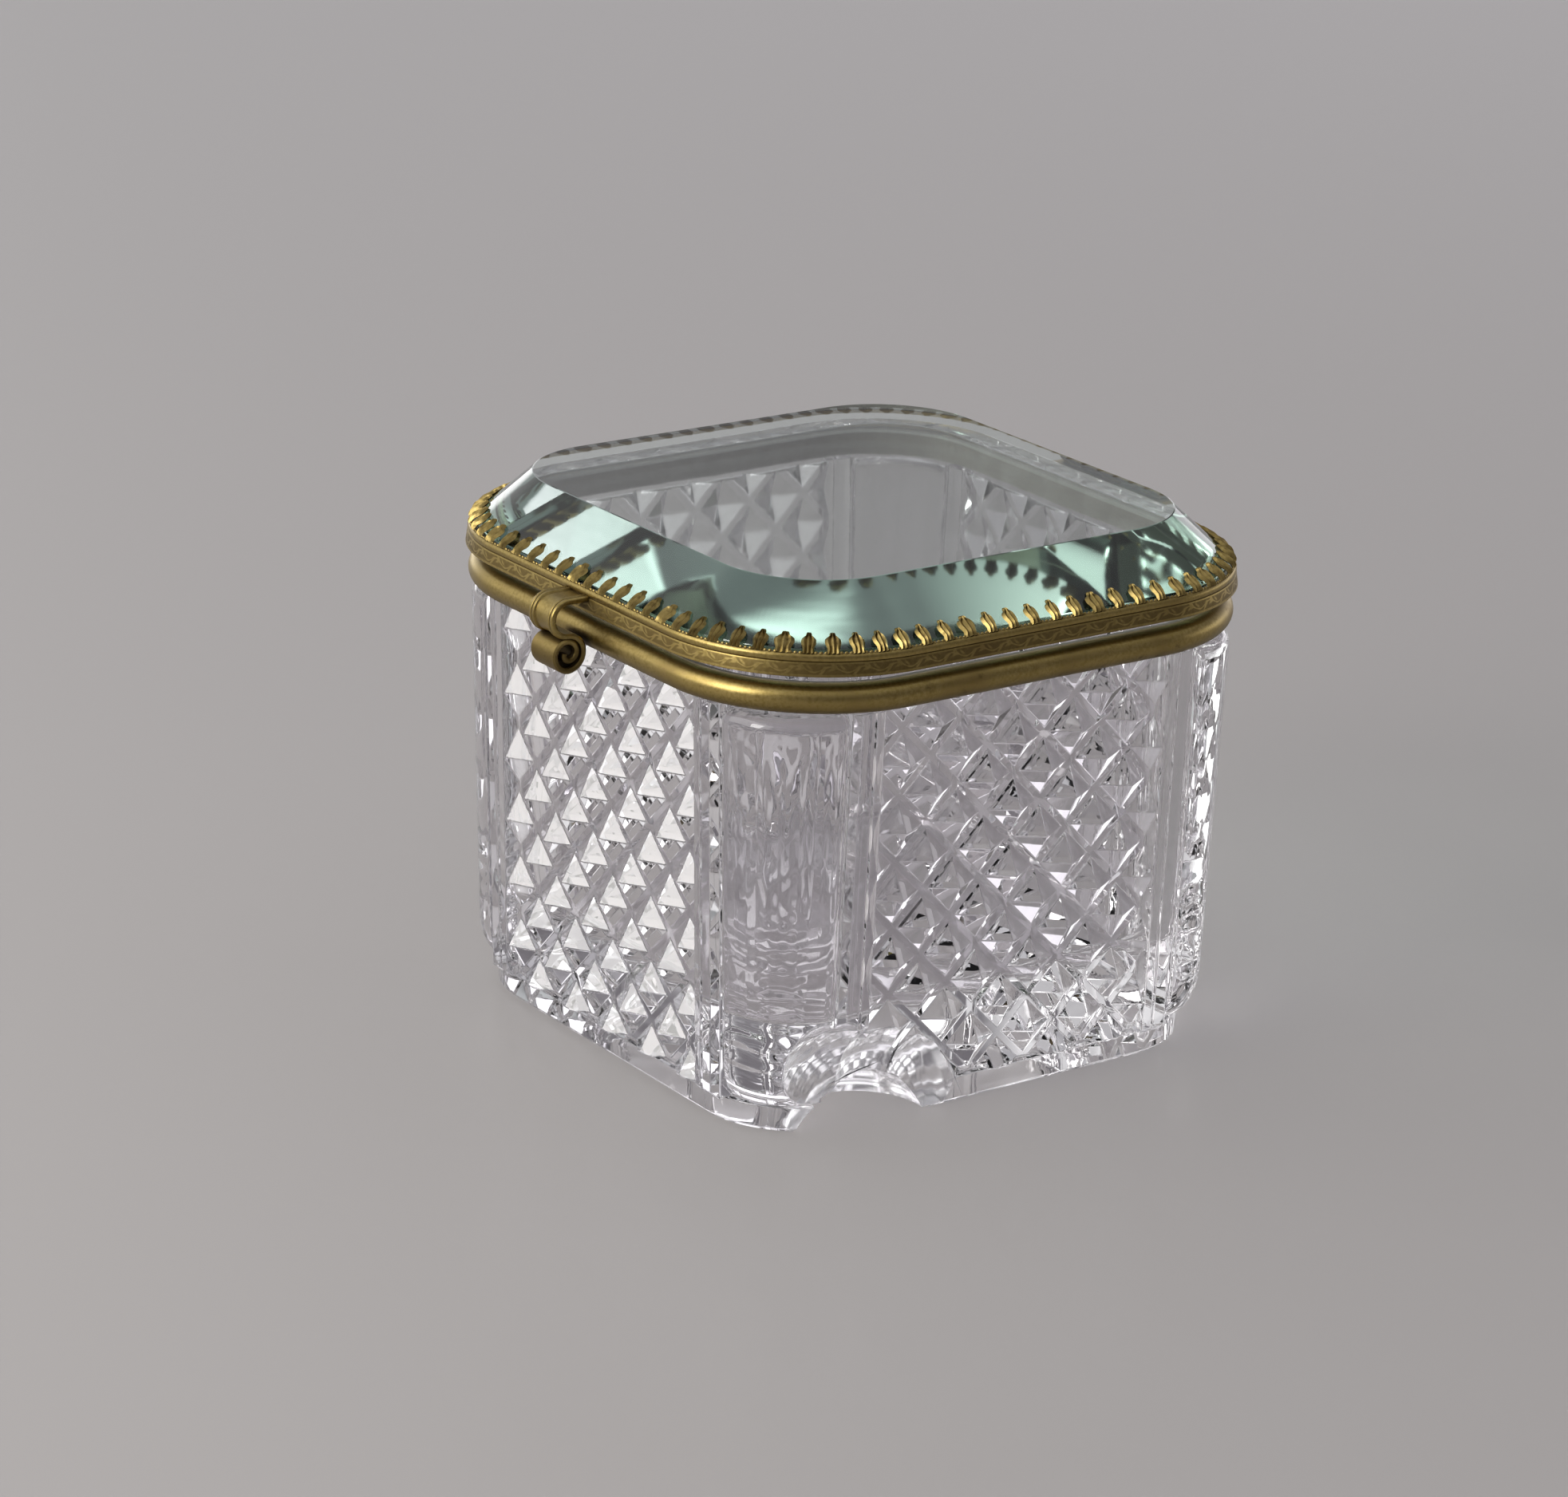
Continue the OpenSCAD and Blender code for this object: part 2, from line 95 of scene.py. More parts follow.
class Nodes:
    """A node tree, to which each method adds a node."""

    def __init__(self, tree):
        self.tree = tree

    def node(self, kind, settings, inputs, out=0):
        """Adds a node: its settings first, then its inputs, each a plain value or a Signal."""
        made = self.tree.nodes.new(kind)
        for name, value in settings.items():
            setattr(made, name, value)
        for name, value in inputs.items():
            socket = made.inputs[name]
            if isinstance(value, Signal):
                self.tree.links.new(value.socket, socket)
            elif isinstance(value, tuple) and len(value) == 3 and socket.type == "RGBA":
                socket.default_value = (*value, 1.0)
            else:
                socket.default_value = value
        return Signal(self, made.outputs[out])

    def math(self, operation, *values):
        return self.node("ShaderNodeMath", {"operation": operation}, dict(enumerate(values)))

    def apart(self, vector):
        """The three numbers of a vector, each a Signal."""
        made = self.tree.nodes.new("ShaderNodeSeparateXYZ")
        self.tree.links.new(vector.socket, made.inputs[0])
        return [Signal(self, made.outputs[i]) for i in range(3)]

    def mix(self, factor, first, second):
        """A colour between two colours."""
        made = self.tree.nodes.new("ShaderNodeMix")
        made.data_type = "RGBA"
        kinds = {"Factor": "VALUE", "A": "RGBA", "B": "RGBA"}
        for name, value in {"Factor": factor, "A": first, "B": second}.items():
            socket = next(s for s in made.inputs if s.name == name and s.type == kinds[name])
            if isinstance(value, Signal):
                self.tree.links.new(value.socket, socket)
            else:
                socket.default_value = value if name == "Factor" else (*value, 1.0)
        return Signal(self, next(s for s in made.outputs if s.type == "RGBA"))


class Finish(Nodes):
    """One material and the nodes behind its shader."""

    def __init__(self, name):
        self.material = bpy.data.materials.new(name)
        self.material.use_nodes = True
        super().__init__(self.material.node_tree)
        self.tree.nodes.clear()
        self.output = self.tree.nodes.new("ShaderNodeOutputMaterial")

    def millimetres(self):
        return self.apart(self.stretched((1 / MM, 1 / MM, 1 / MM)))

    def distance(self, point_mm):
        """How far the surface is from a point, in millimetres."""
        here = self.stretched((1 / MM, 1 / MM, 1 / MM))
        return self.node("ShaderNodeVectorMath", {"operation": "DISTANCE"}, {0: here, 1: point_mm}, "Value")

    def uv(self):
        return self.apart(self.node("ShaderNodeUVMap", {}, {}, "UV"))[:2]

    def stretched(self, scale):
        """Object coordinates multiplied by scale."""
        place = self.node("ShaderNodeTexCoord", {}, {}, "Object")
        return self.node("ShaderNodeMapping", {}, {"Vector": place, "Scale": scale})

    def noise(self, size_mm, detail=2.0, roughness=0.5, stretch=(1.0, 1.0, 1.0)):
        """Soft noise from 0 to 1 whose lumps are about size_mm across."""
        vector = self.stretched(tuple(s / (size_mm * MM) for s in stretch))
        inputs = {"Vector": vector, "Scale": 1.0, "Detail": detail, "Roughness": roughness}
        return self.node("ShaderNodeTexNoise", {}, inputs, "Fac")

    def bump(self, height, depth_mm, under=None):
        inputs = {"Height": height, "Strength": 1.0, "Distance": depth_mm * MM}
        if under is not None:
            inputs["Normal"] = under
        return self.node("ShaderNodeBump", {}, inputs)

    def surface(self, shader, volume=None):
        self.tree.links.new(shader.socket, self.output.inputs["Surface"])
        if volume is not None:
            self.tree.links.new(volume.socket, self.output.inputs["Volume"])
        return self.material


GLASS_IOR = 1.5


def glass_shader(finish, tint, roughness, normal, lamp_tint):
    """Clear glass that bends what is behind it and lets lamps through to what it holds."""
    clear = finish.node("ShaderNodeBsdfPrincipled", {}, {
        "Base Color": tint, "Roughness": roughness, "IOR": GLASS_IOR, "Transmission Weight": 1.0,
        "Normal": normal}, "BSDF")
    lamp = finish.node("ShaderNodeBsdfTransparent", {}, {"Color": lamp_tint}, "BSDF")
    is_lamp = finish.node("ShaderNodeLightPath", {}, {}, "Is Shadow Ray")
    return finish.node("ShaderNodeMixShader", {}, {0: is_lamp, 1: clear, 2: lamp}, "Shader")


# The scoop and the three shells of the chip: middle and radius, in millimetres, and where the blow fell
CHIP_Y, SHELL_STEP_Y, SHELL_STEP_Z = -30.6, 11.5, 2.5
CHIP_BALLS = [((50.6, CHIP_Y, -5.0), 14.5)]
CHIP_BALLS += [((63.834, CHIP_Y + SHELL_STEP_Y * k, 9.5 - SHELL_STEP_Z * k), 14.0) for k in (-1, 0, 1)]
STRIKE = (54.0, -31.0, 0.0)
# In millimetres: where the columns begin, where their ripples start and fade, and where their lumps begin
COLUMN_EDGE, RIPPLE_START, RIPPLE_FADE, LUMPS_START = (40.5, 42.0), (12.5, 14.5), (26.0, 46.0), (36.0, 50.0)
RIPPLE_LENGTH, RING_LENGTH = 4.6, 1.7


def body_glass():
    """Pressed glass: crisp facets, soft lumps and ripples in the columns, fine rings in the chip."""
    finish = Finish("pressed_glass")
    x, y, z = finish.millimetres()
    in_corner = abs(x).smooth(*COLUMN_EDGE) * abs(y).smooth(*COLUMN_EDGE)
    low_down = (1.0 - z.smooth(*RIPPLE_FADE)) * z.smooth(*RIPPLE_START)
    wander = finish.noise(12.0, 0.0) * 1.4
    ripples = (z / RIPPLE_LENGTH + wander).wave() * low_down
    lumps = finish.noise(6.0, 1.0, 0.5, (1.0, 1.0, 0.7)) * z.smooth(*LUMPS_START)
    column = in_corner * (ripples * 0.26 + lumps * 0.7)
    off_balls = [abs(finish.distance(middle) - radius) for middle, radius in CHIP_BALLS]
    chipped = sum(1.0 - off.smooth(0.25, 0.5) for off in off_balls)
    rings = (finish.distance(STRIKE) / RING_LENGTH + finish.noise(9.0, 0.0)).wave() * chipped
    waves = finish.noise(11.0, 1.0)
    grain = finish.noise(1.6, 2.0)
    normal = finish.bump(grain, 0.002, finish.bump(waves, 0.03))
    normal = finish.bump(rings, 0.012, finish.bump(column, 0.42, normal))
    rough = chipped.clamped() * 0.15
    return finish.surface(glass_shader(finish, (0.855, 0.842, 0.862), rough, normal, (0.93, 0.93, 0.95)))


def plate_glass():
    """Polished plate glass, green through its edge."""
    finish = Finish("plate_glass")
    normal = finish.bump(finish.noise(30.0, 0.0), 0.03, finish.bump(finish.noise(7.0, 1.0), 0.006))
    shader = glass_shader(finish, (0.985, 0.995, 0.99), 0.03, normal, (0.9, 0.94, 0.92))
    green = {"Color": (0.56, 0.86, 0.72), "Density": 9.0}
    volume = finish.node("ShaderNodeVolumeAbsorption", {}, green, "Volume")
    return finish.surface(shader, volume)


# Heights in millimetres: the bead's underside, below which the brass gets painted shade, and the cement's
# strip between bead and band that is in sight; the cement is painted in shade outside it
BEAD_UNDERSIDE, CEMENT_FOOT, CEMENT_HEAD = (82.6, 85.2), (87.9, 88.4), (90.2, 90.5)


def brass(finish, low, relief=None):
    """Old gilding: olive gold, brown where low, with painted shade where tucked in, finely scratched, a
    little tarnished.
    """
    cloud = finish.noise(12.0, 3.0)
    speck = finish.noise(0.6, 3.0, 0.6)
    scratch = finish.noise(1.2, 2.0, 0.6, (1.0, 1.0, 6.0))
    tarnish = (cloud * 0.6 + speck * 0.4).smooth(0.50, 0.72)
    gilt = finish.mix(speck.smooth(0.3, 0.7), (0.29, 0.214, 0.068), (0.395, 0.298, 0.11))
    worn = finish.mix(tarnish * 0.55, gilt, (0.18, 0.115, 0.04))
    # Painted shade: ambient occlusion darkens creases, hollows and the gaps between brass and glass.
    open_air = finish.node("ShaderNodeAmbientOcclusion", {"samples": 6}, {"Distance": 2.4 * MM}, "AO")
    occlusion_shade = 1.0 - open_air.smooth(0.30, 0.90)
    grime_and_shade = (low + occlusion_shade).clamped()
    # The dark brown is partly tarnish and patina from the low mask and partly painted shade.
    colour = finish.mix(grime_and_shade * 0.92, worn, (0.055, 0.032, 0.012))
    rough = (0.28 + 0.14 * speck + 0.10 * tarnish + 0.22 * grime_and_shade).clamped()
    marks = finish.bump(scratch, 0.004, finish.bump(speck, 0.010))
    if relief is not None:
        marks = finish.bump(relief, 1.0, marks)
    shader = finish.node("ShaderNodeBsdfPrincipled", {}, {
        "Base Color": colour, "Metallic": 1.0, "Roughness": rough, "Normal": marks}, "BSDF")
    return finish.surface(shader)


def gilt_brass():
    """Plain gilded parts, darker under the bead as painted shade."""
    finish = Finish("gilt_brass")
    z = finish.millimetres()[2]
    # Painted shade: the brass below the bead's underside is darkened.
    under = (1.0 - z.smooth(*BEAD_UNDERSIDE)) * 0.55
    return brass(finish, under + finish.noise(2.5, 3.0).smooth(0.62, 0.8) * 0.4)


def engraved_brass():
    """The lid's band: a running stem with slanted leaves below an incised line."""
    finish = Finish("engraved_brass")
    along, up = finish.uv()
    wobble = finish.noise(5.0, 1.0) - 0.5
    stem_at = 0.5 + 0.24 * along.wave()
    away = up - stem_at + 0.06 * wobble
    leaves = (along * 3.0 + abs(away) * 1.3 + wobble * 0.3).wave()
    tips = (along - away * 0.7).wave()
    stem = 1.0 - abs(away).smooth(0.02, 0.10)
    frieze = (leaves * 0.5 + 0.5) * (0.6 + 0.4 * tips) * (1.0 - 0.6 * abs(away).smooth(0.25, 0.45))
    zone = up.smooth(0.02, 0.10) * (1.0 - up.smooth(0.90, 0.98))
    relief = (frieze * 0.8 + stem * 0.6) * zone
    low = (1.0 - relief.smooth(0.12, 0.58)) * zone * 0.62
    return brass(finish, low, relief * 0.24 * MM)


def fluted_brass():
    """The prongs: the same gilding, bright on the flutes against the painted shade between them."""
    finish = Finish("fluted_brass")
    return brass(finish, finish.noise(1.4, 2.0).smooth(0.5, 0.75) * 0.55)


def plaster_cement():
    """Plaster, pale where it is in sight and painted grey in shade where glass and brass cover it."""
    finish = Finish("plaster_cement")
    grain = finish.noise(0.5, 4.0, 0.7)
    pale = finish.mix(grain, (0.50, 0.47, 0.43), (0.66, 0.63, 0.60))
    z = finish.millimetres()[2]
    # Painted shade: a darker copy of the plaster for the parts that glass and brass cover.
    shaded_plaster = finish.mix(grain, (0.20, 0.175, 0.15), (0.27, 0.24, 0.21))
    in_sight = z.smooth(*CEMENT_FOOT) * (1.0 - z.smooth(*CEMENT_HEAD))
    colour = finish.mix(in_sight, shaded_plaster, pale)
    shader = finish.node("ShaderNodeBsdfPrincipled", {}, {
        "Base Color": colour, "Roughness": 0.9, "Normal": finish.bump(grain, 0.05)}, "BSDF")
    return finish.surface(shader)


def plain(name, colour, roughness):
    finish = Finish(name)
    shader = finish.node("ShaderNodeBsdfPrincipled", {}, {
        "Base Color": colour, "Roughness": roughness, "Specular IOR Level": 0.15}, "BSDF")
    return finish.surface(shader)


finishes = {"body_glass": body_glass(), "lid_glass": plate_glass(), "gilt_brass": gilt_brass(),
            "cement": plaster_cement()}
engraved = engraved_brass()
fluted = fluted_brass()


# Pieces

def link(name, body, slot, mesh, material=None):
    """Makes an object of a finished bmesh, riding on a CAD body."""
    data = bpy.data.meshes.new(name)
    mesh.to_mesh(data)
    mesh.free()
    piece = bpy.data.objects.new(name, data)
    bpy.context.scene.collection.objects.link(piece)
    data.materials.append(material or finishes[slot])
    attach(piece, body)
    return piece


def smooth_edges(mesh, angle):
    """Smooth shading that stops at edges sharper than angle, in degrees."""
    for face in mesh.faces:
        face.smooth = True
    for edge in mesh.edges:
        edge.smooth = len(edge.link_faces) == 2 and edge.calc_face_angle(0.0) < math.radians(angle)


def merged_copy(node):
    """A CAD node's mesh as a bmesh with its loose triangles joined."""
    mesh = bmesh.new()
    mesh.from_mesh(frame["nodes"][node].data)
    bmesh.ops.remove_doubles(mesh, verts=mesh.verts, dist=0.002 * MM)
    return mesh


body_of = {node: body for body, nodes in frame["record"]["behaviour"]["bodies"].items() for node in nodes}
slot_of = {part["node"]: part["material_slot"] for part in frame["record"]["subparts"]}


def on_ball(place, middle, radius):
    """Whether a point lies on a ball of the chip, to within 0.08 mm."""
    return abs((place / MM - Vector(middle)).length - radius) < 0.08


def ball_faces(mesh, middle, radius):
    return [face for face in mesh.faces if all(on_ball(vert.co, middle, radius) for vert in face.verts)]


def round_the_chip(mesh):
    """Divides the chip's shells finely and puts every new point on its ball."""
    for middle, radius in CHIP_BALLS:
        shell = set(ball_faces(mesh, middle, radius))
        inner = [edge for edge in mesh.edges
                 if len(edge.link_faces) == 2 and shell.issuperset(edge.link_faces)]
        made = bmesh.ops.subdivide_edges(mesh, edges=inner, cuts=2, use_grid_fill=True)
        for item in {*made["geom_inner"], *made["geom_split"]}:
            if isinstance(item, bmesh.types.BMVert):
                item.co = (Vector(middle) + (item.co / MM - Vector(middle)).normalized() * radius) * MM
        bmesh.ops.triangulate(mesh, faces=ball_faces(mesh, middle, radius))


def polish_chip(piece):
    """Gives the chip's shells the exact normals of the balls that they follow."""
    data = piece.data
    normals = [Vector(corner.vector) for corner in data.corner_normals]
    for middle, radius in CHIP_BALLS:
        shell = [on_ball(vert.co, middle, radius) for vert in data.vertices]
        for face in data.polygons:
            if all(shell[i] for i in face.vertices):
                for loop in face.loop_indices:
                    inward = Vector(middle) * MM - data.vertices[data.loops[loop].vertex_index].co
                    if inward.dot(face.normal) > 0:
                        normals[loop] = inward.normalized()
    data.normals_split_custom_set(normals)


def dressed(node, angle):
    """Replaces a CAD node by the same shape with smooth rounds and crisp edges."""
    mesh = merged_copy(node)
    smooth_edges(mesh, angle)
    piece = link(node + "_dressed", body_of[node], slot_of[node], mesh)
    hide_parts(node)
    return piece


# Degrees between faces above which an edge stays crisp, and the rounding of a pressed edge in millimetres
CRISP = 22
PRESSED_ROUND = 0.16


def pressed_body():
    """The glass body with pointed diamonds and every pressed edge slightly rounded."""
    mesh = merged_copy("glass_body")
    bmesh.ops.remove_doubles(mesh, verts=mesh.verts, dist=0.04 * MM)
    bmesh.ops.dissolve_limit(mesh, angle_limit=math.radians(0.4), verts=mesh.verts, edges=mesh.edges)
    tips = [vert for vert in mesh.verts if on_diamond_tip(vert.co / MM)]
    bmesh.ops.remove_doubles(mesh, verts=tips, dist=0.3 * MM)
    round_the_chip(mesh)
    pressed = [edge for edge in mesh.edges if edge.calc_face_angle(0.0) > math.radians(CRISP)]
    made = bmesh.ops.bevel(mesh, geom=pressed, offset=PRESSED_ROUND * MM, offset_type="OFFSET", segments=2,
                           profile=0.5, affect="EDGES", clamp_overlap=False, material=-1)
    rounded = set(made["faces"])
    smooth_edges(mesh, CRISP)
    for edge in mesh.edges:
        count = sum(face in rounded for face in edge.link_faces)
        if count:
            edge.smooth = count == 2
    body = link("pressed_body", body_of["glass_body"], "body_glass", mesh)
    polish_chip(body)
    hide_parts("glass_body")


# The plane of the diamonds' tips, in millimetres: half its width, how far out it is at a height, and its lean
TIP_WIDTH, TIP_OUT, TIP_HEIGHT, TIP_LEAN = 32.6, 56.5, 69.7, 0.031


def on_diamond_tip(point):
    """Whether a point lies on the plane of the diamonds' tips, on any of the four faces."""
    out, across = max(abs(point.x), abs(point.y)), min(abs(point.x), abs(point.y))
    return across < TIP_WIDTH and abs(out - TIP_OUT - TIP_LEAN * (point.z - TIP_HEIGHT)) < 0.03


def soften(piece, width_mm):
    """Rounds a brass piece's sharp edges a little."""
    bevel = piece.modifiers.new("soft_edges", "BEVEL")
    bevel.width = width_mm * MM
    bevel.segments = 2
    bevel.limit_method = "ANGLE"
    bevel.angle_limit = math.radians(40)
    bevel.harden_normals = True


BUILT_BELOW = ("glass_body", "lid_glass", "gallery_strip", "clasp_strap", "glass_bedding")
for node in frame["nodes"]:
    if node not in BUILT_BELOW:
        piece = dressed(node, CRISP)
        if "knuckle" in node or "leaf" in node or node == "hinge_pin":
            soften(piece, 0.12)
pressed_body()

# The lid's rounded square: the middle of its corners, its outer faces and its levels, in millimetres
CORNER = 29.0
LID_HALF, BAND_FOOT, BAND_TOP = 61.3, 89.9, 94.1
GLASS_HALF, GLASS_Z, BEVEL_Z, LID_TOP, BEVEL_W = 59.6, 91.3, 94.4, 104.0, 10.6
# Stems and prongs of the band: ornaments to a quarter, prongs to a straight side and to a corner
MOTIFS, PRONGS_SIDE, PRONGS_CORNER = 18, 12, 11
BEVEL = math.atan2(LID_TOP - BEVEL_Z, BEVEL_W)


def swept_ring(profile, steps, closed):
    """Sweeps a profile of (distance from the middle, height) round the rounded square."""
    mesh = bmesh.new()
    verts = [mesh.verts.new((out, -CORNER, height)) for out, height in profile]
    pairs = list(zip(verts, verts[1:])) + ([(verts[-1], verts[0])] if closed else [])
    edges = [mesh.edges.new(pair) for pair in pairs]
    straight = bmesh.ops.extrude_edge_only(mesh, edges=edges)["geom"]
    end = [item for item in straight if isinstance(item, bmesh.types.BMVert)]
    bmesh.ops.translate(mesh, verts=end, vec=(0, 2 * CORNER, 0))
    end_edges = [item for item in straight if isinstance(item, bmesh.types.BMEdge)]
    bmesh.ops.spin(mesh, geom=end + end_edges, cent=(CORNER, CORNER, 0), axis=(0, 0, 1), angle=math.pi / 2,
                   steps=steps)
    quarter = mesh.verts[:] + mesh.edges[:] + mesh.faces[:]
    for turn in range(1, 4):
        copy = bmesh.ops.duplicate(mesh, geom=quarter)["geom"]
        bmesh.ops.rotate(mesh, verts=[item for item in copy if isinstance(item, bmesh.types.BMVert)],
                         matrix=Matrix.Rotation(turn * math.pi / 2, 3, "Z"))
    bmesh.ops.remove_doubles(mesh, verts=mesh.verts, dist=0.001)
    if not closed:
        bmesh.ops.holes_fill(mesh, edges=[edge for edge in mesh.edges if edge.is_boundary])
    bmesh.ops.recalc_face_normals(mesh, faces=mesh.faces)
    return mesh


def round_the_lid(face_middle, point, radius):
    """How far along the rounded square a point lies, counted in ornaments."""
    quarter = round((math.degrees(math.atan2(face_middle.y, face_middle.x)) - 22.5) / 90.0)
    turn = Matrix.Rotation(-quarter * math.pi / 2, 3, "Z")
    here, middle = turn @ point, turn @ face_middle
    if middle.y < CORNER:
        way = here.y + CORNER
    else:
        way = 2 * CORNER + radius * math.atan2(here.y - CORNER, here.x - CORNER)
    return MOTIFS * (quarter + way / (2 * CORNER + radius * math.pi / 2))


def finished(name, body, slot, mesh, angle, material=None):
    """A piece from a mesh in millimetres, its rounds smooth and its edges crisp."""
    bmesh.ops.scale(mesh, verts=mesh.verts, vec=(MM, MM, MM))
    smooth_edges(mesh, angle)
    return link(name, body, slot, mesh, material)


# Lid: bevelled plate, engraved band, prongs and the scallops between them

def lid_plate():
    """The bevelled plate, its edges nicked off a little."""
    nick = 0.12
    slope_x, slope_z = math.cos(BEVEL) * nick, math.sin(BEVEL) * nick
    inner = GLASS_HALF - BEVEL_W
    mesh = swept_ring([(CORNER, GLASS_Z), (GLASS_HALF - nick, GLASS_Z), (GLASS_HALF, GLASS_Z + nick),
                       (GLASS_HALF, BEVEL_Z - nick), (GLASS_HALF - slope_x, BEVEL_Z + slope_z),
                       (inner + slope_x, LID_TOP - slope_z), (inner - nick, LID_TOP), (CORNER, LID_TOP)],
                      40, False)
    plate = finished("bevelled_plate", "lid", "lid_glass", mesh, 12)
    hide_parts("lid_glass")


def lid_bedding():
    """White cement under the plate, up round its edge and along the top of the inner ring, painted grey in
    shade by its finish.
    """
    mesh = swept_ring([(58.35, 90.65), (59.73, 90.65), (59.73, 92.95), (60.47, 92.95), (60.47, 93.95),
                       (59.65, 93.95), (59.65, 91.25), (58.35, 91.25)], 24, True)
    bedding = finished("plate_bedding", "lid", "cement", mesh, 30)
    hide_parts("glass_bedding")


FRIEZE_FOOT, FRIEZE_HEIGHT = 90.3, 2.1


def lid_band():
    """A strip that flares a little to its foot, with a round shoulder and an incised line."""
    outline = [(60.5, BAND_FOOT), (61.42, BAND_FOOT), (61.56, 90.05), (61.5, 90.4), (61.22, 92.35),
               (61.16, 92.5), (60.98, 92.62), (61.12, 92.75), (61.2, 93.0), (61.2, 93.4), (61.05, 93.8),
               (60.8, 94.05), (60.5, BAND_TOP)]
    mesh = swept_ring(outline, 32, True)
    layer = mesh.loops.layers.uv.new("UVMap")
    for face in mesh.faces:
        middle = face.calc_center_median()
        for loop in face.loops:
            point = loop.vert.co
            up = (point.z - FRIEZE_FOOT) / FRIEZE_HEIGHT
            loop[layer].uv = (round_the_lid(middle, point, LID_HALF - CORNER), up)
    band = finished("engraved_band", "lid", "gilt_brass", mesh, 28, engraved)
    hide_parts("gallery_strip")


# Along the bevel, lift off the glass and half width of a prong, from root to tip
PRONG_LINE = [(-1.2, 0.62, 1.25), (-0.7, 0.86, 1.12), (-0.2, 0.98, 1.08), (0.3, 0.95, 1.22),
              (0.8, 0.84, 1.38), (1.4, 0.72, 1.42), (1.9, 0.62, 1.34), (2.3, 0.54, 1.02),
              (2.55, 0.48, 0.62), (2.9, 0.44, 0.56), (3.25, 0.34, 0.46), (3.4, 0.20, 0.16)]
PRONG_SHEET, FLUTE_DEPTH = 0.34, 0.20


def prong_shape():
    """A fluted leaf: waisted at its root, broad in the middle, with a small rounded tip."""
    rows = len(PRONG_LINE) - 1
    mesh = bmesh.new()
    bmesh.ops.create_grid(mesh, x_segments=6, y_segments=rows, size=1.0)
    for vert in mesh.verts:
        across, row = vert.co.x, round((vert.co.y + 1) / 2 * rows)
        along, lift, half = PRONG_LINE[row]
        flute = FLUTE_DEPTH * (math.cos(3 * math.pi * across) + 1 - across * across)
        fade = min(1.0, (rows - row) / 2)
        off = lift + flute * fade
        vert.co = (GLASS_HALF - along * math.cos(BEVEL) + off * math.sin(BEVEL), across * half,
                   BEVEL_Z + along * math.sin(BEVEL) + off * math.cos(BEVEL))
    bmesh.ops.recalc_face_normals(mesh, faces=mesh.faces)
    if sum(face.normal.z for face in mesh.faces) < 0:
        bmesh.ops.reverse_faces(mesh, faces=mesh.faces)
    bmesh.ops.solidify(mesh, geom=mesh.faces[:], thickness=PRONG_SHEET)
    bmesh.ops.recalc_face_normals(mesh, faces=mesh.faces)
    shape = bpy.data.meshes.new("prong_shape")
    mesh.to_mesh(shape)
    mesh.free()
    return shape


def stamp(mesh, shape, matrix):
    """Adds a shape to a mesh, moved by a matrix."""
    before = len(mesh.verts)
    mesh.from_mesh(shape)
    mesh.verts.ensure_lookup_table()
    bmesh.ops.transform(mesh, matrix=matrix, verts=mesh.verts[before:])


def round_places(shift):
    """A matrix for each prong's place round the lid, shifted by a share of the way to the next."""
    places = []
    for turn in range(4):
        quarter = Matrix.Rotation(turn * math.pi / 2, 4, "Z")
        for i in range(PRONGS_SIDE):
            along = (2 * (i + 0.5 + shift) / PRONGS_SIDE - 1) * CORNER
            places.append(quarter @ Matrix.Translation((0, along, 0)))
        for i in range(PRONGS_CORNER):
            swing = Matrix.Rotation(math.pi / 2 * (i + 0.5 + shift) / PRONGS_CORNER, 4, "Z")
            to_corner = Matrix.Translation((CORNER, CORNER, 0))
            places.append(quarter @ to_corner @ swing @ Matrix.Translation((-CORNER, 0, 0)))
    return places


def lid_prongs():
    """The row of prongs: every sixth is wide, and the others differ a little in width and lean."""
    shape = prong_shape()
    mesh = bmesh.new()
    for number, place in enumerate(round_places(0.0)):
        wide = 1.3 if number % 6 == 2 else 1.0 - 0.05 * math.sin(2.4 * number)
        lean = Matrix.Rotation(0.03 * math.sin(1.7 * number), 4, "Z")
        tilt = Matrix.Translation((GLASS_HALF, 0, 0)) @ lean @ Matrix.Translation((-GLASS_HALF, 0, 0))
        stamp(mesh, shape, place @ tilt @ Matrix.Diagonal((1.0, wide, 1.0, 1.0)))
    prongs = finished("fluted_prongs", "lid", "gilt_brass", mesh, 50, fluted)
    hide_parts("gallery_strip")


def lid_scallops():
    """Three small beads on the band's edge between each two prongs."""
    mesh = bmesh.new()
    bmesh.ops.create_uvsphere(mesh, u_segments=6, v_segments=4, radius=0.42)
    shape = bpy.data.meshes.new("scallop_shape")
    mesh.to_mesh(shape)
    mesh.free()
    mesh = bmesh.new()
    squashed = Matrix.Translation((60.72, 0, BAND_TOP)) @ Matrix.Diagonal((0.62, 1.0, 1.0, 1.0))
    for shift in (-0.30, 0.5, 0.30):
        for place in round_places(shift):
            stamp(mesh, shape, place @ squashed)
    scallops = finished("scallops", "lid", "gilt_brass", mesh, 60, fluted)
    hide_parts("gallery_strip")


lid_plate()
lid_bedding()
lid_band()
lid_prongs()
lid_scallops()


# Clasp: one strap that hooks over the bead and rolls up into a scroll

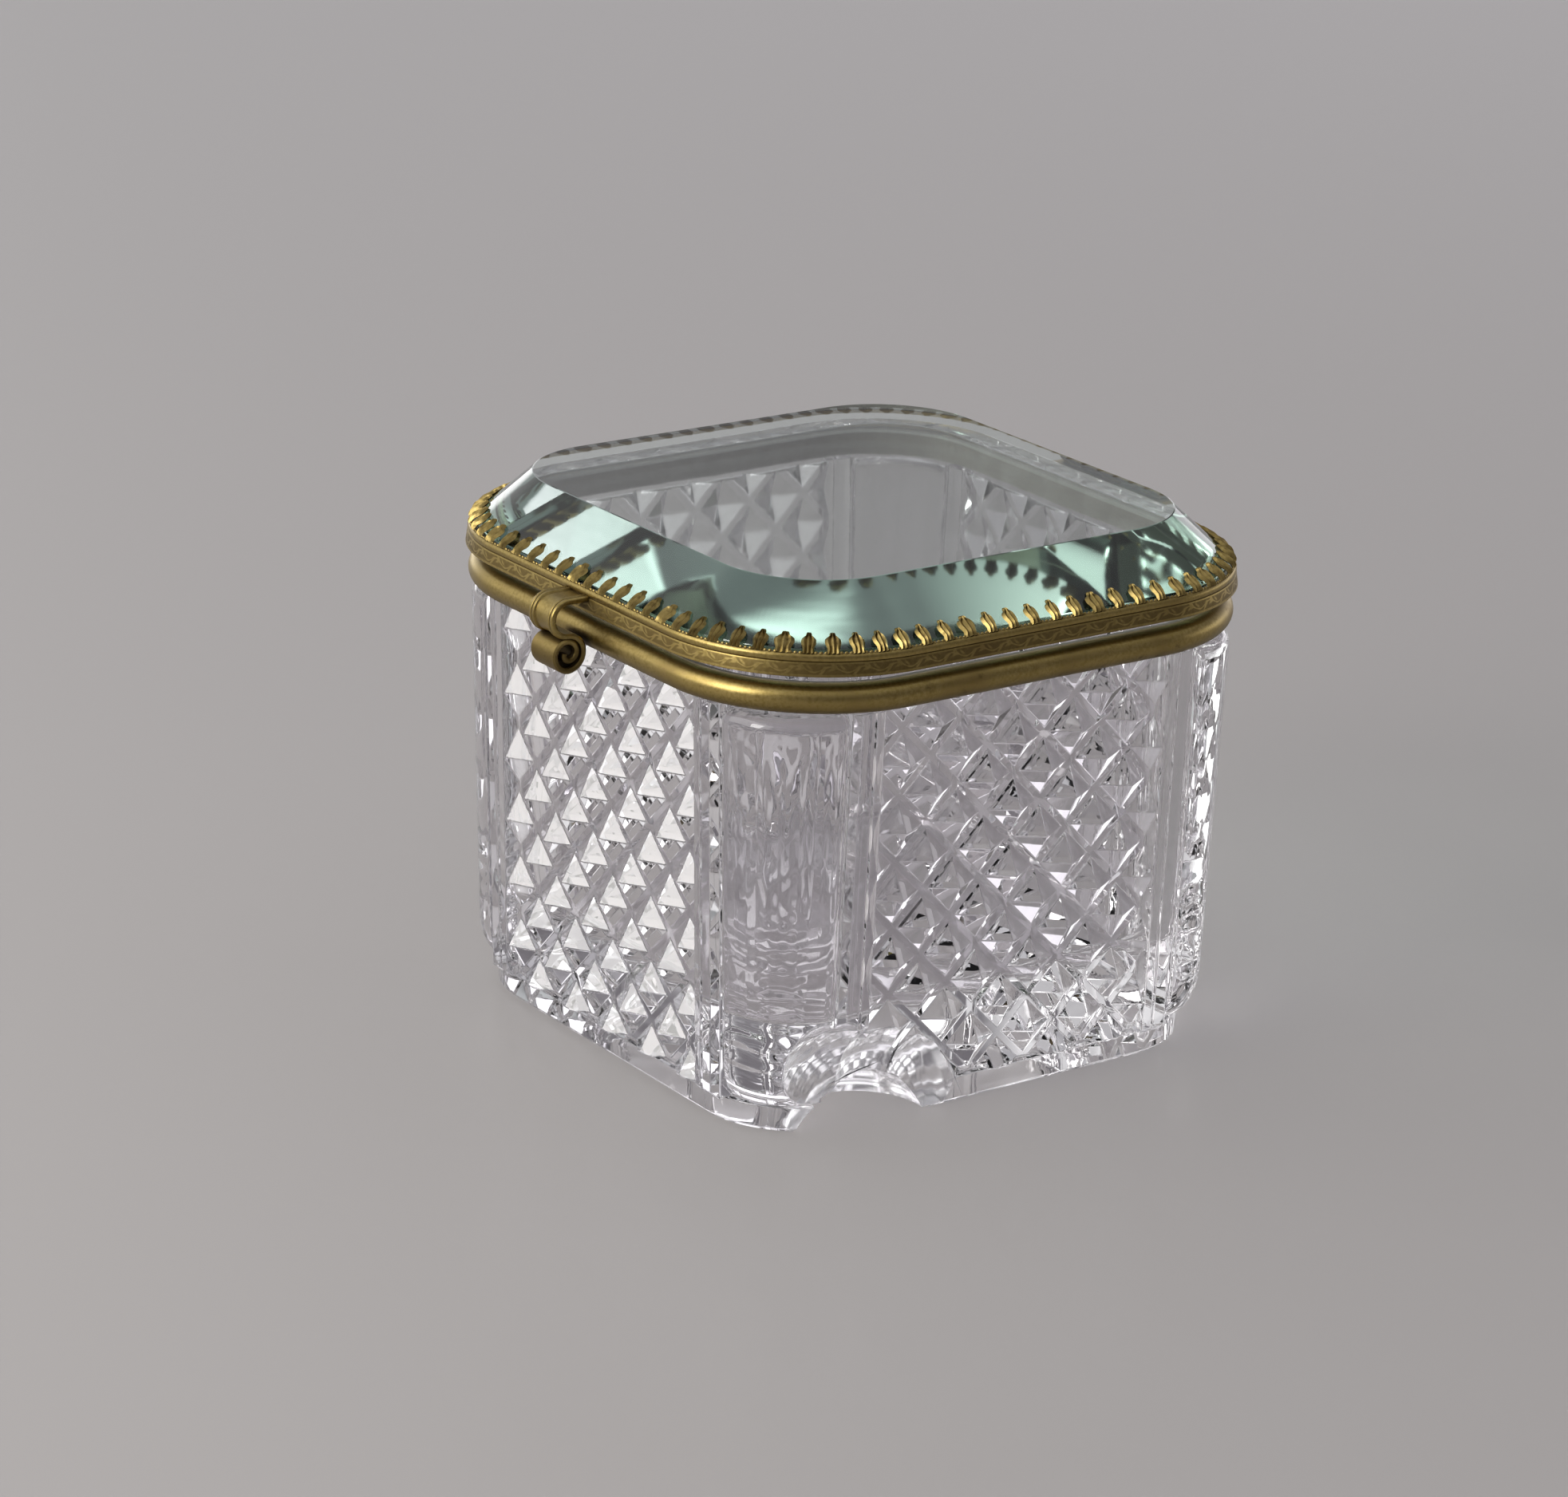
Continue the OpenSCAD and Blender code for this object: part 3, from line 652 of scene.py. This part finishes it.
# Section of the strap, across and outwards, with a round bead along each side
STRAP = [(-4.0, 0.0), (-4.0, 0.45), (-3.8, 0.72), (-3.5, 0.80), (-3.2, 0.72), (-3.05, 0.50), (-2.9, 0.72),
         (-2.6, 0.80), (-2.3, 0.72), (-2.1, 0.42), (0.0, 0.34), (2.1, 0.42), (2.3, 0.72), (2.6, 0.80),
         (2.9, 0.72), (3.05, 0.50), (3.2, 0.72), (3.5, 0.80), (3.8, 0.72), (4.0, 0.45), (4.0, 0.0),
         (3.7, -0.35), (-3.7, -0.35)]


# How far out the strap starts and where its hook and scroll turn, in millimetres
STRAP_START, TURN_OUT, HOOK_Z, HOOK_RADIUS, SCROLL_Z = 61.0, 65.25, 89.1, 3.1, 82.5
# Steps of a half turn, steps of the roll, and how much the roll shrinks at each
HALF_TURN, ROLL_STEPS, ROLL_SHRINK = 18, 46, 0.055


def clasp():
    """Turns the strap's section step by step along a hook and a roll whose radius shrinks."""
    mesh = bmesh.new()
    verts = [mesh.verts.new((across, -STRAP_START, HOOK_Z + HOOK_RADIUS + off)) for across, off in STRAP]
    loop = [mesh.edges.new(pair) for pair in zip(verts, verts[1:] + verts[:1])]
    mesh.faces.new(verts)

    def pull(edges, move):
        made = bmesh.ops.extrude_edge_only(mesh, edges=edges)["geom"]
        move([item for item in made if isinstance(item, bmesh.types.BMVert)])
        return [item for item in made if isinstance(item, bmesh.types.BMEdge)]

    def swing(edges, height, way):
        turn = Matrix.Rotation(way * math.pi / HALF_TURN, 3, "X")
        centre = (0, -TURN_OUT, height)
        return pull(edges, lambda ends: bmesh.ops.rotate(mesh, verts=ends, cent=centre, matrix=turn))

    reach = (0, STRAP_START - TURN_OUT, 0)
    loop = pull(loop, lambda ends: bmesh.ops.translate(mesh, verts=ends, vec=reach))
    for height, way in ((HOOK_Z, 1), (SCROLL_Z, -1)):
        for step in range(HALF_TURN):
            loop = swing(loop, height, way)
    centre = Vector((0, -TURN_OUT, SCROLL_Z))
    for step in range(ROLL_STEPS):
        loop = swing(loop, SCROLL_Z, -1)
        ends = list({vert for edge in loop for vert in edge.verts})
        middle = sum((vert.co for vert in ends), Vector()) / len(ends)
        inward = centre - middle
        inward.x = 0.0
        bmesh.ops.translate(mesh, verts=ends, vec=inward.normalized() * ROLL_SHRINK)
    bmesh.ops.contextual_create(mesh, geom=loop)
    bmesh.ops.recalc_face_normals(mesh, faces=mesh.faces)
    strap = finished("scrolled_clasp", "lid", "gilt_brass", mesh, 40)
    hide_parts("clasp_strap")


clasp()


# Stage, light and camera

def flat_sheet(name, corners, material):
    mesh = bmesh.new()
    mesh.faces.new([mesh.verts.new(corner) for corner in corners])
    data = bpy.data.meshes.new(name)
    mesh.to_mesh(data)
    mesh.free()
    sheet = bpy.data.objects.new(name, data)
    data.materials.append(material)
    bpy.context.scene.collection.objects.link(sheet)


FLOOR_Z, FLOOR_HALF = -0.05 * MM, 3.0
floor_corners = [(x * FLOOR_HALF, y * FLOOR_HALF, FLOOR_Z) for x, y in ((-1, -1), (1, -1), (1, 1), (-1, 1))]
flat_sheet("floor", floor_corners, plain("pale_floor", (0.43, 0.41, 0.40), 0.32))


def soft_lamp(name, place, target, size, power):
    """A rectangular, slightly warm lamp that faces its target; lengths in metres, power in watts."""
    data = bpy.data.lights.new(name, "AREA")
    data.shape = "RECTANGLE"
    data.size, data.size_y = size
    data.energy = power
    data.color = (1.0, 0.985, 0.96)
    lamp = bpy.data.objects.new(name, data)
    lamp.matrix_world = look_at(Vector(place), Vector(target))
    bpy.context.scene.collection.objects.link(lamp)


def look_at(place, target):
    back = (place - target).normalized()
    right = Vector((0, 0, 1)).cross(back).normalized()
    up = back.cross(right)
    return Matrix.Translation(place) @ Matrix((right, up, back)).transposed().to_4x4()


# The left face's diamonds mirror the window towards the camera; the screen beside it is dim and wide
soft_lamp("window", (0.04, -1.17, 0.62), (0, 0, 0.05), (0.38, 0.44), 5.0)
soft_lamp("screen", (-0.29, -1.22, 0.76), (0, 0, 0.06), (1.50, 0.90), 10.5)


def room_light():
    """A room with a pale wall low behind the box, bright to the left, pale above and quiet elsewhere."""
    world = bpy.data.worlds.new("room")
    world.use_nodes = True
    room = Nodes(world.node_tree)
    x, y, z = room.apart(room.node("ShaderNodeTexCoord", {}, {}, "Generated"))
    left = (x * -0.97 + y * -0.24).smooth(0.55, 0.95)
    glare = (x * -0.98 + y * 0.193).smooth(0.955, 0.99) * (1.0 - z.smooth(0.10, 0.20))
    above = z.smooth(0.30, 0.95)
    quiet = room.mix(above, (0.17, 0.16, 0.175), (0.66, 0.66, 0.68))
    low_wall = (x * -0.77 + y * 0.55).smooth(-0.2, 0.5) * (1.0 - z.smooth(0.18, 0.25))
    wall = room.mix(low_wall, quiet, (1.6, 1.57, 1.63))
    colour = room.mix(glare, room.mix(left, wall, (0.95, 0.95, 0.95)), (3.0, 3.0, 3.0))
    background = room.tree.nodes["Background"]
    room.tree.links.new(colour.socket, background.inputs["Color"])
    background.inputs["Strength"].default_value = 1.0
    return world


bpy.context.scene.world = room_light()
bpy.context.scene.view_settings.view_transform = "Standard"
bounces = bpy.context.scene.cycles
bounces.max_bounces = 40
bounces.transmission_bounces = 40
bounces.glossy_bounces = 8
bounces.transparent_max_bounces = 64


# The photograph's viewpoint: direction and roll in degrees, place in metres, lens and width in pixels
AZIMUTH, HEIGHT, ROLL = 54.494, 18.997, 1.685
CAMERA_PLACE = (0.7353, -0.5384, 0.3652)
PHOTO_LENS, PHOTO_WIDTH, SENSOR_WIDTH = 6300, 1965, 36.0


def photo_camera():
    azimuth, height, roll = math.radians(AZIMUTH), math.radians(HEIGHT), math.radians(ROLL)
    right = Vector((math.cos(azimuth), math.sin(azimuth), 0))
    level = math.cos(height)
    back = Vector((math.sin(azimuth) * level, -math.cos(azimuth) * level, math.sin(height)))
    up = back.cross(right)
    across = math.cos(roll) * right + math.sin(roll) * up
    data = bpy.data.cameras.new("photo_camera")
    data.sensor_fit = "HORIZONTAL"
    data.sensor_width = SENSOR_WIDTH
    data.lens = SENSOR_WIDTH * PHOTO_LENS / PHOTO_WIDTH
    data.clip_start, data.clip_end = 0.01, 20.0
    camera = bpy.data.objects.new("photo_camera", data)
    turn = Matrix((across, back.cross(across), back)).transposed().to_4x4()
    camera.matrix_world = Matrix.Translation(CAMERA_PLACE) @ turn
    bpy.context.scene.collection.objects.link(camera)
    bpy.context.scene.camera = camera


photo_camera()
